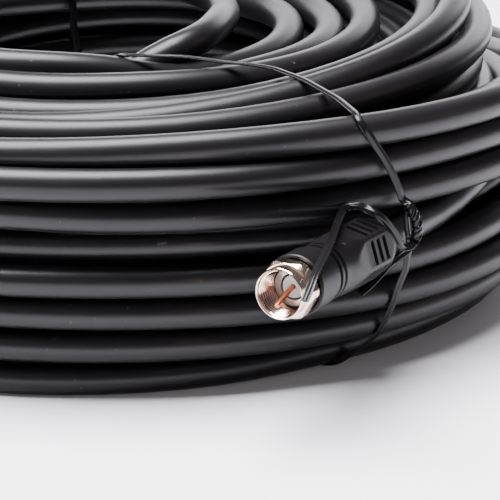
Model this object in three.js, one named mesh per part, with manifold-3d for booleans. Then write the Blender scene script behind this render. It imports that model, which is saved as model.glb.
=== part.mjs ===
// A coil of black coaxial cable lying flat, tied with two twist ties, with a threaded connector on
// each end of the cable. Millimetres, +Z up, standing on z = 0.
import * as THREE from 'three';
import { mergeVertices } from 'three/addons/utils/BufferGeometryUtils.js';
import Module from 'manifold-3d';

const wasm = await Module();
wasm.setup();

// Driving dimensions of the cable and its coil
const cableDiameter = 6.9;
const outerRadius = 106;
const boreRadius = 39;
const coilHeight = 60;
const footInset = 12;
const wallFootHeight = 42;
const shoulderDrop = 2;
const shoulderWidth = 18.4;
const valleyDepth = 7.5;
const boreFootInset = 6;
const boreFootHeight = 26;
const turnSegments = 28;

// Fits: the gap between touching pieces, and the running gap of a part that turns
const clearance = 0.3;
const runningGap = 0.4;

// Coupling nut
const nutLength = 8.6;
const collarDiameter = 10.3;
const collarLength = 2.6;
const hexAcrossFlats = 11;
const hexLength = 3.4;
const hexChamferDiameter = 12.1;
const hexChamferLength = 0.9;
const nutRearDiameter = 10.6;
const threadDiameter = 9.3;
const nutShoulder = 1.6;

// Post, white insulation and centre wire
const flangeDiameter = 8;
const flangeThickness = 0.9;
const sleeveDiameter = 6.4;
const sleeveBore = 5.2;
const sleeveInBoot = 11;
const dielectricDiameter = 4.6;
const conductorDiameter = 1.02;
const conductorReach = 0.6;
const conductorDroop = 2.2;

// Moulded boot
const bootLength = 33;
const bootNoseDiameter = 12.2;
const bootNoseBore = 11.3;
const bootCollarDiameter = 12.6;
const bootCollarLength = 3.4;
const bootWaistDiameter = 11.8;
const bootWaistLength = 9;
const bootGripAcrossFlats = 11.4;
const bootGripTurn = 17;
const bootGripLength = 15;
const bootEndDiameter = 9.6;
const grooveWidth = 0.8;
const grooveDepth = 0.5;
const grooveSpacing = 1.9;
const firstGroove = 5;

// Where a connector stands: the boot's rear end, just inside the outer radius, and the way it points
const bootEndInset = 0.5;
const bootEndAzimuth = 33.4;
const bootEndHeight = 31.4;
const connectorHeading = 28.5;
const connectorRise = 2;

// The cable's tail runs straight on from the boot, then round inside the skin turns
const tailStraight = 17;
const tailDepth = 11;
const tailHiddenAngle = 26;
const tailHiddenRise = 3;

// Twist ties
const tieWidth = 2;
const tieThickness = 0.9;
const tieSteps = 64;
const tieStep = 0.8;
const tieSlack = 0.3;
const tieOverTail = 0.8;
const tieLift = 0.5;
const tieGroove = 0.9;
const tieCutDepth = 3;
const knotDiameter = 3.4;
const knotLength = 7.6;
const knotBehindBoot = 9.6;
const knotRise = 2.6;
const tieBoreAzimuth = { front: -8, back: 37.8 };
const tieTopAzimuth = 30;
const tieSlant = 8.5;

// The second end of the cable is the mirror image of the first, turned this far round the coil
const backAngle = 229.8;

// Colours from the photo
const black = { color: 0x17161a, roughness: 0.45, metalness: 0 };
const mouldedBlack = { color: 0x1d1b20, roughness: 0.4, metalness: 0 };
const tieBlack = { color: 0x2a282c, roughness: 0.3, metalness: 0 };
const nickel = { color: 0xd9cfc6, roughness: 0.25, metalness: 1 };
const white = { color: 0xece8e4, roughness: 0.6, metalness: 0 };
const copper = { color: 0xb8694a, roughness: 0.35, metalness: 1 };

const cableRadius = cableDiameter / 2;
const toRadians = THREE.MathUtils.degToRad;

// A closed geometry as a solid, turned inside out if its faces point in
function solid(geometry) {
  const bare = geometry.index ? geometry.clone() : geometry;
  bare.deleteAttribute('normal');
  bare.deleteAttribute('uv');
  const merged = mergeVertices(bare, 1e-4);
  const triVerts = new Uint32Array(merged.index.array);
  const points = merged.attributes.position;
  let volume = 0;
  const [a, b, c] = [new THREE.Vector3(), new THREE.Vector3(), new THREE.Vector3()];
  for (let i = 0; i < triVerts.length; i += 3) {
    a.fromBufferAttribute(points, triVerts[i]);
    b.fromBufferAttribute(points, triVerts[i + 1]);
    c.fromBufferAttribute(points, triVerts[i + 2]);
    volume += a.dot(b.cross(c));
  }
  if (volume < 0) {
    for (let i = 0; i < triVerts.length; i += 3) {
      [triVerts[i], triVerts[i + 1]] = [triVerts[i + 1], triVerts[i]];
    }
  }
  const vertProperties = new Float32Array(points.array);
  return new wasm.Manifold(new wasm.Mesh({ numProp: 3, vertProperties, triVerts }));
}

// A solid back as a geometry with flat faces
function geometryOf(manifold) {
  const { vertProperties, triVerts } = manifold.getMesh();
  const geometry = new THREE.BufferGeometry();
  geometry.setAttribute('position', new THREE.BufferAttribute(new Float32Array(vertProperties), 3));
  geometry.setIndex(new THREE.BufferAttribute(new Uint32Array(triVerts), 1));
  const flat = geometry.toNonIndexed();
  flat.computeVertexNormals();
  return flat;
}

// A body turned about Z from a closed outline of [radius, height] points
function turned(outline, segments) {
  const points = [...outline, outline[0]].map(([r, z]) => new THREE.Vector2(r, z));
  return solid(new THREE.LatheGeometry(points, segments).rotateX(Math.PI / 2));
}

function ringSection(outer, inner, from, to) {
  return [[inner, from], [outer, from], [outer, to], [inner, to]];
}

function meshOf(name, manifold, finish) {
  const mesh = new THREE.Mesh(geometryOf(manifold), new THREE.MeshStandardMaterial(finish));
  mesh.name = name;
  return mesh;
}

// A point given by its radius, azimuth in degrees (0 is -Y, positive towards +X) and height
function around(radius, azimuth, height) {
  const angle = toRadians(azimuth);
  return new THREE.Vector3(radius * Math.sin(angle), -radius * Math.cos(angle), height);
}

// The middles of the skin turns, [radius, height], anticlockwise from the outer foot
function skinTurns() {
  const wall = outerRadius - cableRadius;
  const bore = boreRadius + cableRadius;
  const crown = coilHeight - cableRadius;
  const corners = [
    [wall - footInset, cableRadius],
    [wall, wallFootHeight],
    [wall, crown - shoulderDrop],
    [wall - shoulderWidth / 2, crown - valleyDepth],
    [wall - shoulderWidth, crown],
    [bore, crown - shoulderDrop],
    [bore, boreFootHeight],
    [bore + boreFootInset, cableRadius],
  ];
  const turns = [];
  corners.forEach(([r0, z0], i) => {
    const [r1, z1] = corners[(i + 1) % corners.length];
    const count = Math.max(1, Math.round(Math.hypot(r1 - r0, z1 - z0) / cableDiameter));
    for (let k = 0; k < count; k += 1) {
      turns.push([r0 + (r1 - r0) * k / count, z0 + (z1 - z0) * k / count]);
    }
  });
  return turns;
}

// The coil's outline: each skin turn shows a crest, and a groove lies between two turns
function coilOutline(turns) {
  const crestAngle = toRadians(18);
  const widestFacet = toRadians(50);
  const grooveFloor = 0.55 * cableRadius;
  const outline = [];
  const direction = (from, to) => Math.atan2(to[1] - from[1], to[0] - from[0]) - Math.PI / 2;
  turns.forEach((turn, i) => {
    const before = turns[(i + turns.length - 1) % turns.length];
    const after = turns[(i + 1) % turns.length];
    const start = direction(before, turn);
    const turning = direction(turn, after) - start + Math.PI;
    const bend = THREE.MathUtils.euclideanModulo(turning, 2 * Math.PI) - Math.PI;
    const first = start + Math.min(0, bend) - crestAngle;
    const span = Math.abs(bend) + 2 * crestAngle;
    const facets = bend < 0 ? 1 : Math.max(1, Math.ceil(span / widestFacet));
    for (let k = 0; k <= facets; k += 1) {
      const angle = bend < 0 ? start + bend / 2 + (k * 2 - 1) * crestAngle : first + span * k / facets;
      outline.push([turn[0] + cableRadius * Math.cos(angle), turn[1] + cableRadius * Math.sin(angle)]);
    }
    const out = direction(turn, after);
    outline.push([
      (turn[0] + after[0]) / 2 + grooveFloor * Math.cos(out),
      (turn[1] + after[1]) / 2 + grooveFloor * Math.sin(out),
    ]);
  });
  return outline;
}

// A closed regular section for a cable or a knot; its flats touch the given radius where it cuts
function roundSection(radius, sides) {
  const shape = new THREE.Shape();
  for (let k = 0; k < sides; k += 1) {
    const angle = 2 * Math.PI * (k + 0.5) / sides;
    const point = [radius * Math.cos(angle), radius * Math.sin(angle)];
    if (k === 0) shape.moveTo(...point);
    else shape.lineTo(...point);
  }
  shape.closePath();
  return shape;
}

// A flat section, its thickness split about the path: x is away from the bundle
function flatSection(inside, outside, width) {
  const shape = new THREE.Shape();
  shape.moveTo(-inside, -width / 2);
  shape.lineTo(outside, -width / 2);
  shape.lineTo(outside, width / 2);
  shape.lineTo(-inside, width / 2);
  shape.closePath();
  return shape;
}

// A section run along a smooth path through the points
function swept(points, section, steps, outward) {
  const path = new THREE.CatmullRomCurve3(points, false, 'centripetal');
  if (outward) {
    path.computeFrenetFrames = (segments) => {
      const frames = { tangents: [], normals: [], binormals: [] };
      for (let i = 0; i <= segments; i += 1) {
        const tangent = path.getTangentAt(i / segments).normalize();
        const normal = outward(path.getPointAt(i / segments), tangent);
        normal.addScaledVector(tangent, -normal.dot(tangent)).normalize();
        frames.tangents.push(tangent);
        frames.normals.push(normal);
        frames.binormals.push(tangent.clone().cross(normal));
      }
      return frames;
    };
  }
  return solid(new THREE.ExtrudeGeometry(section, { steps, bevelEnabled: false, extrudePath: path }));
}

// The outside of a set of [radius, height] points, anticlockwise
function hull(points) {
  const sorted = [...points].sort((p, q) => p[0] - q[0] || p[1] - q[1]);
  const chain = (list) => {
    const kept = [];
    for (const p of list) {
      while (kept.length > 1) {
        const [a, b] = kept.slice(-2);
        if ((b[0] - a[0]) * (p[1] - a[1]) - (b[1] - a[1]) * (p[0] - a[0]) > 0) break;
        kept.pop();
      }
      kept.push(p);
    }
    return kept.slice(0, -1);
  };
  return [...chain(sorted), ...chain(sorted.reverse())];
}

// Where the connector on the front end stands, with its own sideways and upward directions
const bootEnd = around(outerRadius - bootEndInset, bootEndAzimuth, bootEndHeight);
const mouthward = new THREE.Vector3(0, 0, 1)
  .applyAxisAngle(new THREE.Vector3(1, 0, 0), Math.PI / 2 - toRadians(connectorRise))
  .applyAxisAngle(new THREE.Vector3(0, 0, 1), -toRadians(connectorHeading));
const sideways = new THREE.Vector3(0, 0, 1).cross(mouthward).normalize();
const upward = mouthward.clone().cross(sideways);
const bootStart = nutLength + runningGap;
const connectorLength = bootStart + bootLength;
const mouth = bootEnd.clone().addScaledVector(mouthward, connectorLength);
const cableStart = bootStart + sleeveInBoot + clearance;
const gripRadius = bootGripAcrossFlats / 2 / Math.cos(Math.PI / 6);
const gripEnd = bootStart + bootCollarLength + bootWaistLength + bootGripLength;

// A point by its distances from the boot's rear end: towards the mouth, sideways and upwards
function byBoot(forward, aside, above) {
  return bootEnd.clone()
    .addScaledVector(mouthward, forward)
    .addScaledVector(sideways, aside)
    .addScaledVector(upward, above);
}

// The tail of the cable, from inside the coil's skin to the boot
const hiddenTail = (share) => around(
  outerRadius - tailDepth + (1 - share), bootEndAzimuth + tailHiddenAngle * (0.7 + 0.3 * share),
  bootEndHeight + tailHiddenRise * share);
const tailRoute = [
  hiddenTail(1),
  hiddenTail(0),
  byBoot(-tailStraight, 0, 0),
  byBoot(-tailStraight / 2, 0, 0),
  bootEnd,
  mouth.clone().addScaledVector(mouthward, -cableStart),
];
const tailCrossing = byBoot(-knotBehindBoot, 0, 0);
const tailSteps = 18;
const tailSides = 10;

// A tie's azimuth, in degrees: it slants over the top of the coil and down its outer face
function tieAzimuth(radius, height, boreAzimuth) {
  const across = (radius - boreRadius) / (outerRadius - boreRadius);
  const down = Math.min(1, (coilHeight - height) / (coilHeight - tailCrossing.z));
  const outerAzimuth = tieTopAzimuth + tieSlant * Math.sin(down * Math.PI / 2);
  return boreAzimuth + Math.sin(across * Math.PI / 2) * (outerAzimuth - boreAzimuth);
}

// The path of a twist tie: round the bundle, over its skin turns and the tail
function tieLoop(turns, boreAzimuth) {
  const knotSeat = [Math.hypot(tailCrossing.x, tailCrossing.y) + tieOverTail, tailCrossing.z];
  const ring = hull([...turns, knotSeat]);
  const seat = ring.findIndex(([r, z]) => r === knotSeat[0] && z === knotSeat[1]);
  const order = [...ring.slice(seat), ...ring.slice(0, seat + 1)];
  const facingOf = (from, to) => Math.atan2(to[1] - from[1], to[0] - from[0]) - Math.PI / 2;
  const seatFacing = facingOf(knotSeat, order[1]);
  const offset = cableRadius + clearance + tieSlack + tieThickness / 2;
  const lowest = tieThickness / 2 + tieLift;
  const boreSag = boreRadius * (1 - Math.cos(Math.PI / turnSegments));
  const route = [];
  let angle = seatFacing;
  order.forEach(([r, z], i) => {
    let to = i < order.length - 1 ? facingOf([r, z], order[i + 1]) : seatFacing;
    while (to < angle) to += 2 * Math.PI;
    const facets = Math.max(1, Math.ceil((to - angle) / toRadians(30)));
    for (let k = 0; k <= facets; k += 1) {
      const facing = angle + (to - angle) * k / facets;
      const flatSag = facing > Math.PI / 3 && facing < 1.5 * Math.PI ? boreSag : 0;
      const height = Math.max(lowest, z + offset * Math.sin(facing));
      route.push([r + offset * Math.cos(facing) - flatSag, height]);
    }
    angle = to;
  });
  const spaced = route.filter(([r, z], i) => {
    const [lastR, lastZ] = route[Math.max(0, i - 1)];
    return i === 0 || Math.hypot(r - lastR, z - lastZ) > tieStep;
  });

  // The loop starts and ends inside the knot
  const [low, high] = spaced;
  const share = knotRise / (high[1] - low[1]);
  const joint = [low[0] + (high[0] - low[0]) * share, low[1] + knotRise];
  return [joint, ...spaced.slice(1), joint].map(([r, z]) => around(r, tieAzimuth(r, z, boreAzimuth), z));
}

// Away from the bundle, for a path that runs anticlockwise round its section
function awayFromBundle(point, tangent) {
  const length = Math.hypot(point.x, point.y);
  return new THREE.Vector3(-point.y / length, point.x / length, 0).cross(tangent);
}

const knotRadius = Math.hypot(tailCrossing.x, tailCrossing.y)
  + tieOverTail + cableRadius + clearance + knotDiameter / 2;
const knotHeight = tailCrossing.z + knotRise;
const knotMiddle = around(
  knotRadius, tieAzimuth(knotRadius, knotHeight, tieBoreAzimuth.front), knotHeight);

// A point beside the boot: a share of the connector's length from the boot's rear end, then
// multiples of the grip's radius sideways and upwards
function onBoot(share, aside, above) {
  return byBoot(share * connectorLength, aside * gripRadius, above * gripRadius);
}

// The long tail of the tie runs over the boot to the nut, and the short one hangs below the boot
const knotFoot = knotMiddle.clone().add(new THREE.Vector3(0, 0, -0.4 * knotLength));
const longTail = [
  knotFoot,
  onBoot(-0.02, 1.24, 0.06),
  onBoot(0.08, 1.21, 0.15),
  onBoot(0.13, 1.03, 0.59),
  onBoot(0.13, 0.67, 0.98),
  onBoot(0.1, 0.09, 1.21),
  onBoot(0.13, -0.33, 1.21),
  onBoot(0.19, -0.52, 1.15),
  onBoot(0.34, -0.24, 1.18),
  onBoot(0.6, 0.42, 1.12),
  onBoot(0.76, 0.73, 0.94),
  onBoot(0.93, 0.97, 0.61),
  onBoot(1.02, 1.09, 0.3),
  onBoot(1.08, 1.12, 0.06),
];
const shortTail = [
  knotFoot,
  onBoot(-0.12, 0.7, -0.36),
  onBoot(-0.05, 0.39, -0.76),
  onBoot(0.02, 0.21, -1),
  onBoot(0.08, 0.06, -1.2),
  onBoot(0.14, -0.09, -1.39),
];
const tailTieSteps = 22;
const shortTieSteps = 8;

function upAndOut(point) {
  return new THREE.Vector3(point.x, point.y, 0).normalize().add(new THREE.Vector3(0, 0, 0.8));
}

function twistTie(loop) {
  const ribbon = flatSection(tieThickness / 2, tieThickness / 2, tieWidth);
  const knot = solid(new THREE.CylinderGeometry(knotDiameter / 2, knotDiameter / 2, knotLength, 10)
    .rotateX(Math.PI / 2).translate(...knotMiddle.toArray()));
  return swept(loop, ribbon, tieSteps, awayFromBundle)
    .add(knot)
    .add(swept(longTail, ribbon, tailTieSteps, upAndOut))
    .add(swept(shortTail, ribbon, shortTieSteps, upAndOut));
}

// Connector pieces, in a frame with the mouth of the nut at z = 0 and +Z pointing out of it
function couplingNut() {
  const hex = roundSection(hexAcrossFlats / 2 / Math.cos(Math.PI / 6), 6);
  const hexEnd = collarLength + hexLength;
  const prism = solid(new THREE.ExtrudeGeometry(hex, { depth: hexLength, bevelEnabled: false })
    .rotateZ(Math.PI / 6).translate(0, 0, -hexEnd));
  const flat = hexAcrossFlats / 2;
  const wide = hexChamferDiameter / 2;
  const barrel = turned([
    [0, -hexEnd],
    [flat, -hexEnd],
    [wide + 1, -hexEnd + hexChamferLength],
    [wide + 1, -collarLength - hexChamferLength],
    [flat, -collarLength],
    [0, -collarLength],
  ], 24);
  const collar = turned([
    [0, -collarLength - 1],
    [collarDiameter / 2, -collarLength - 1],
    [collarDiameter / 2, 0],
    [0, 0],
  ], 24);
  const rear = turned([
    [0, -nutLength],
    [nutRearDiameter / 2, -nutLength],
    [nutRearDiameter / 2, -hexEnd + 1],
    [0, -hexEnd + 1],
  ], 24);
  const thread = turned([[0, -nutLength + nutShoulder], [threadDiameter / 2, -nutLength + nutShoulder],
    [threadDiameter / 2, 1], [0, 1]], 24);
  const neckHole = sleeveDiameter / 2 + clearance;
  const neck = turned([[0, -nutLength - 1], [neckHole, -nutLength - 1], [neckHole, 1], [0, 1]], 24);
  return prism.intersect(barrel).add(collar).add(rear).subtract(thread).subtract(neck);
}

function connectorPost() {
  const seat = -(nutLength - nutShoulder - clearance);
  return turned([
    [sleeveBore / 2, seat + flangeThickness],
    [sleeveBore / 2, -bootStart - sleeveInBoot],
    [sleeveDiameter / 2, -bootStart - sleeveInBoot],
    [sleeveDiameter / 2, seat],
    [flangeDiameter / 2, seat],
    [flangeDiameter / 2, seat + flangeThickness],
  ], 20);
}

function dielectric() {
  const face = -(nutLength - nutShoulder - clearance - flangeThickness);
  const end = -bootStart - sleeveInBoot;
  return turned(ringSection(dielectricDiameter / 2, conductorDiameter / 2 + clearance, end, face), 14);
}

function centreConductor() {
  const face = -(nutLength - nutShoulder - clearance - flangeThickness);
  const route = [
    new THREE.Vector3(0, 0, -bootStart - sleeveInBoot),
    new THREE.Vector3(0, 0, face - 2),
    new THREE.Vector3(0, 0, face),
    new THREE.Vector3(0, -conductorDroop * 0.3, face / 2),
    new THREE.Vector3(0, -conductorDroop, conductorReach),
  ];
  return swept(route, roundSection(conductorDiameter / 2, 8), 14);
}

function mouldedBoot() {
  const nose = bootNoseDiameter / 2;
  const collar = bootCollarDiameter / 2;
  const waist = bootWaistDiameter / 2;
  const collarEnd = bootStart + bootCollarLength;
  const waistEnd = collarEnd + bootWaistLength;
  const end = bootStart + bootLength;
  const noseStart = collarLength + hexLength + runningGap;
  const outline = [[0, -noseStart], [nose, -noseStart], [collar, -noseStart - (collar - nose)]];
  outline.push([collar, -collarEnd], [waist, -collarEnd - 1]);
  for (const start of [firstGroove, firstGroove + grooveSpacing]) {
    const from = bootStart + start;
    outline.push([waist, -from], [waist - grooveDepth, -from]);
    outline.push([waist - grooveDepth, -from - grooveWidth], [waist, -from - grooveWidth]);
  }
  outline.push([waist, -waistEnd], [waist, -waistEnd - 1], [0, -waistEnd - 1]);
  const front = turned(outline, 24);
  const hexagon = roundSection(gripRadius, 6);
  const prism = solid(new THREE.ExtrudeGeometry(hexagon, { depth: bootGripLength, bevelEnabled: false })
    .rotateZ(toRadians(bootGripTurn)).translate(0, 0, -gripEnd));
  const rear = turned([
    [0, -gripEnd - 0.01],
    [0, -end],
    [bootEndDiameter / 2, -end],
    [bootGripAcrossFlats / 2, -gripEnd],
    [bootGripAcrossFlats / 2, -gripEnd + 1],
    [0, -gripEnd + 1],
  ], 24);
  const sleeveHole = sleeveDiameter / 2 + clearance;
  const cableHole = cableRadius + clearance;
  const bore = turned([
    [0, 1 - noseStart],
    [0, -end - 1],
    [cableHole, -end - 1],
    [cableHole, -bootStart - sleeveInBoot],
    [sleeveHole, -bootStart - sleeveInBoot],
    [sleeveHole, -bootStart],
    [bootNoseBore / 2, -bootStart],
    [bootNoseBore / 2, 1 - noseStart],
  ], 24);
  return front.add(prism).add(rear).subtract(bore);
}

// The room that the rear of a boot takes, with its clearance
function bootRoom() {
  const wide = gripRadius + clearance;
  return turned([
    [0, -connectorLength - clearance],
    [bootEndDiameter / 2 + clearance, -connectorLength - clearance],
    [wide, -gripEnd],
    [wide, -gripEnd + bootGripLength],
    [0, -gripEnd + bootGripLength],
  ], 16);
}

const standing = new THREE.Matrix4().makeBasis(sideways, upward, mouthward).setPosition(mouth);

function connector(end) {
  const group = new THREE.Group();
  group.add(
    meshOf(`coupling_nut_${end}`, couplingNut(), nickel),
    meshOf(`connector_post_${end}`, connectorPost(), nickel),
    meshOf(`dielectric_${end}`, dielectric(), white),
    meshOf(`centre_conductor_${end}`, centreConductor(), copper),
    meshOf(`moulded_boot_${end}`, mouldedBoot(), mouldedBlack),
  );
  standing.decompose(group.position, group.quaternion, group.scale);
  return group;
}

// A solid as it stands at the back end: mirrored left to right, then turned round the coil
function atBack(manifold) {
  return manifold.mirror([1, 0, 0]).rotate([0, 0, backAngle]);
}

const turns = skinTurns();
const tail = swept(tailRoute, roundSection(cableRadius, tailSides), tailSteps);
const tieRoutes = {
  front: tieLoop(turns, tieBoreAzimuth.front),
  back: tieLoop(turns, tieBoreAzimuth.back),
};

// The turns part round each tail and boot, and lift where a tie passes under them
const cutRadius = (cableRadius + clearance) / Math.cos(Math.PI / tailSides);
const beforeTail = tailRoute[0].clone().add(tailRoute[0].clone().sub(tailRoute[1]).setLength(clearance));
const tailCut = swept([beforeTail, ...tailRoute], roundSection(cutRadius, tailSides), tailSteps)
  .add(bootRoom().transform(standing.elements));
const tieGap = flatSection(tieThickness / 2 + tieGroove, tieCutDepth, tieWidth + 4 * clearance);
const tieCut = (route) => swept(route.filter((point) => point.z < cableDiameter), tieGap, 26, awayFromBundle);
const coil = turned(coilOutline(turns), turnSegments)
  .subtract(tailCut)
  .subtract(tieCut(tieRoutes.front))
  .subtract(atBack(tailCut))
  .subtract(atBack(tieCut(tieRoutes.back)));

const backEnd = connector('back');
backEnd.updateMatrix();
const backMatrix = new THREE.Matrix4().makeRotationZ(toRadians(backAngle))
  .multiply(new THREE.Matrix4().makeScale(-1, 1, 1))
  .multiply(backEnd.matrix)
  .multiply(new THREE.Matrix4().makeScale(-1, 1, 1));
backMatrix.decompose(backEnd.position, backEnd.quaternion, backEnd.scale);

const assembly = new THREE.Group();
assembly.add(
  meshOf('cable_coil', coil, black),
  meshOf('cable_tail_front', tail, black),
  meshOf('cable_tail_back', atBack(tail), black),
  connector('front'),
  backEnd,
  meshOf('twist_tie_front', twistTie(tieRoutes.front), tieBlack),
  meshOf('twist_tie_back', atBack(twistTie(tieRoutes.back)), tieBlack),
);

// The origin is the middle of the whole object's footprint, on the floor
const bounds = new THREE.Box3().setFromObject(assembly, true);
const middle = bounds.getCenter(new THREE.Vector3());
assembly.position.set(-middle.x, -middle.y, -bounds.min.z);

export default assembly;
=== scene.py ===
"""Dresses the coil of black coaxial cable: its turns, its two connectors and its two twist ties.

Sizes are in millimetres where a class or a docstring says so, and in metres otherwise.
Azimuth 0 is the front of the coil, -Y, and azimuths grow towards +X.
"""
import logging
import math
from dataclasses import dataclass, field
from enum import Enum
from typing import Sequence

import bmesh
import bpy
import numpy as np
from mathutils import Matrix, Vector


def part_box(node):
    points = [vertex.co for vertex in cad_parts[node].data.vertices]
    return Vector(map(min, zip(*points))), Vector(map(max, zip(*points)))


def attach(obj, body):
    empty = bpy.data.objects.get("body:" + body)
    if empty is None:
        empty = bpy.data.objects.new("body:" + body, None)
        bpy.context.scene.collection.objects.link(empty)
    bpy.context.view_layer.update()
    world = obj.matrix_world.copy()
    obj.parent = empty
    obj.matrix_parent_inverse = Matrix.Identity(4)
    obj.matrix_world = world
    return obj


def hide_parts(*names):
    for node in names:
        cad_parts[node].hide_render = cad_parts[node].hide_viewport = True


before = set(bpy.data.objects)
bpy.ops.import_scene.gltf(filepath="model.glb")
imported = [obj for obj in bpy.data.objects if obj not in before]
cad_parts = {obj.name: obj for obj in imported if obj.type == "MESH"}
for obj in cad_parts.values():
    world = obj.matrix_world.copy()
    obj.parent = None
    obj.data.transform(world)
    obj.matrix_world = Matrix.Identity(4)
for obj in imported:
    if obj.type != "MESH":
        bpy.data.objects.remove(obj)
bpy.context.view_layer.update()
MM = 0.001
# The floor's height in the coil's own frame, in millimetres
FLOOR_HEIGHT = 0.169
# The mesh attribute that marks the bottoms of a thread's grooves, which take painted shade
ROOT_SHADE = "thread_root_shade"

logging.basicConfig(level=logging.INFO, format="%(levelname)s %(message)s")
log = logging.getLogger("cable_coil")

Colour = tuple[float, float, float]
Point = tuple[float, float, float]
Curve = tuple[tuple[float, ...], tuple[float, ...]]


def coil_centre() -> Vector:
    """The coil's axis in the row frame, at the height from which the CAD's parts are measured.

    The lowest turn of the CAD's ring lies FLOOR_HEIGHT millimetres above it, and stands on the floor.

    Returns:
        A point in metres.
    """
    low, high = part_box("cable_coil")
    return Vector(((low[0] + high[0]) / 2, (low[1] + high[1]) / 2, -FLOOR_HEIGHT * MM))


CENTRE = coil_centre()


# Shader tools


class Wire:
    """A node's output, with arithmetic that adds math nodes."""

    def __init__(self, shader: "Shader", socket: bpy.types.NodeSocket) -> None:
        """Keeps the socket and the shader that it belongs to."""
        self.shader = shader
        self.socket = socket

    def _math(self, operation: str, first: object, second: object) -> "Wire":
        """A math node on two values or wires."""
        return self.shader.node("ShaderNodeMath", {"operation": operation}, {0: first, 1: second})

    def __add__(self, other: object) -> "Wire":
        """This wire plus a value or wire."""
        return self._math("ADD", self, other)

    def __radd__(self, other: object) -> "Wire":
        """A value plus this wire."""
        return self._math("ADD", other, self)

    def __sub__(self, other: object) -> "Wire":
        """This wire less a value or wire."""
        return self._math("SUBTRACT", self, other)

    def __rsub__(self, other: object) -> "Wire":
        """A value less this wire."""
        return self._math("SUBTRACT", other, self)

    def __mul__(self, other: object) -> "Wire":
        """This wire times a value or wire."""
        return self._math("MULTIPLY", self, other)

    def __rmul__(self, other: object) -> "Wire":
        """A value times this wire."""
        return self._math("MULTIPLY", other, self)

    def between(self, low: float, high: float) -> "Wire":
        """A smooth step.

        Args:
            low: The value where the step is 0.
            high: The value where the step is 1.

        Returns:
            The step, from 0 to 1.
        """
        settings = {"interpolation_type": "SMOOTHSTEP"}
        return self.shader.node("ShaderNodeMapRange", settings, {0: self, 1: low, 2: high, 3: 0.0, 4: 1.0})


class Shader:
    """A material's node tree, with one Principled shader on its output."""

    def __init__(self, name: str) -> None:
        """Starts a material.

        Args:
            name: The material's name.
        """
        self.material = bpy.data.materials.new(name)
        self.material.use_nodes = True
        self.tree = self.material.node_tree
        self.surface = self.tree.nodes["Principled BSDF"]

    def node(self, kind: str, settings: dict, inputs: dict, output: object = 0) -> Wire:
        """Adds a node of any type.

        Args:
            kind: The node's type.
            settings: Its properties.
            inputs: Values or wires by the input's number or name.
            output: The number or name of the output that is wanted.

        Returns:
            A wire from that output.
        """
        made = self.tree.nodes.new(kind)
        for name, value in settings.items():
            setattr(made, name, value)
        for key, value in inputs.items():
            self.connect(made.inputs[key], value)
        return Wire(self, made.outputs[output])

    def connect(self, socket: bpy.types.NodeSocket, value: object) -> None:
        """Links a wire to a socket, or sets the socket's own value.

        Args:
            socket: The input.
            value: The wire or the plain value.
        """
        if isinstance(value, Wire):
            self.tree.links.new(value.socket, socket)
        else:
            socket.default_value = value

    def set(self, **values: object) -> None:
        """Sets or links inputs of the Principled shader.

        Args:
            values: Wires or values by the input's name, with underscores for spaces.
        """
        for name, value in values.items():
            self.connect(self.surface.inputs[name.replace("_", " ")], value)

    def attribute(self, name: str) -> Wire:
        """A number stored on the mesh.

        Args:
            name: The attribute's name.

        Returns:
            The number, which is 0 on a mesh without it.
        """
        return self.node("ShaderNodeAttribute", {"attribute_name": name}, {}, "Fac")

    def noise(self, scale: float, detail: float = 2.0) -> Wire:
        """Soft noise in the object's own space.

        Args:
            scale: Its scale in cycles a metre.
            detail: How many finer layers it has.

        Returns:
            The noise, from 0 to 1.
        """
        place = self.node("ShaderNodeTexCoord", {}, {}, "Object")
        return self.node("ShaderNodeTexNoise", {}, {"Vector": place, "Scale": scale, "Detail": detail})

    def mix(self, factor: Wire, first: object, second: object) -> Wire:
        """A colour between two others.

        Args:
            factor: The share of the second one.
            first: A colour, or a wire of colours.
            second: The same.

        Returns:
            The mixed colour.
        """
        ends = (value if isinstance(value, Wire) else (*value, 1.0) for value in (first, second))
        return self.node("ShaderNodeMix", {"data_type": "RGBA"}, {0: factor, **dict(zip((6, 7), ends))}, 2)

    def bump(self, height: Wire, strength: float, distance: float) -> Wire:
        """A normal bent by a height.

        Args:
            height: The height, from 0 to 1.
            strength: How much of the bump shows.
            distance: The height's size in metres.

        Returns:
            The normal.
        """
        inputs = {"Strength": strength, "Distance": distance, "Height": height}
        return self.node("ShaderNodeBump", {}, inputs)


@dataclass(frozen=True)
class BlackPlastic:
    """Black plastic with a soft gloss, fine grain and a little dust."""

    name: str
    colour: Colour
    worn: Colour
    roughness: float
    roughness_change: float
    grain_size: float
    grain_depth: float
    dust: float = 0.0
    gloss: float = 0.45
    dust_colour: Colour = (0.3, 0.29, 0.3)
    patch_scale: float = 18.0
    dust_scale: float = 900.0

    def material(self) -> bpy.types.Material:
        """Builds the finish.

        Returns:
            The material.
        """
        shader = Shader(self.name)
        patches = shader.noise(self.patch_scale, 3.0)
        grain = shader.noise(1.0 / self.grain_size, 3.0)
        specks = shader.noise(self.dust_scale, 1.0).between(0.74, 0.8) * self.dust
        tone = shader.mix(patches.between(0.35, 0.7), self.colour, self.worn)
        shader.set(
            Base_Color=shader.mix(specks, tone, self.dust_colour),
            Roughness=self.roughness + (patches - 0.5) * self.roughness_change + 0.3 * specks,
            Normal=shader.bump(grain, 0.35, self.grain_depth),
            Specular_IOR_Level=self.gloss,
        )
        return shader.material


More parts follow.
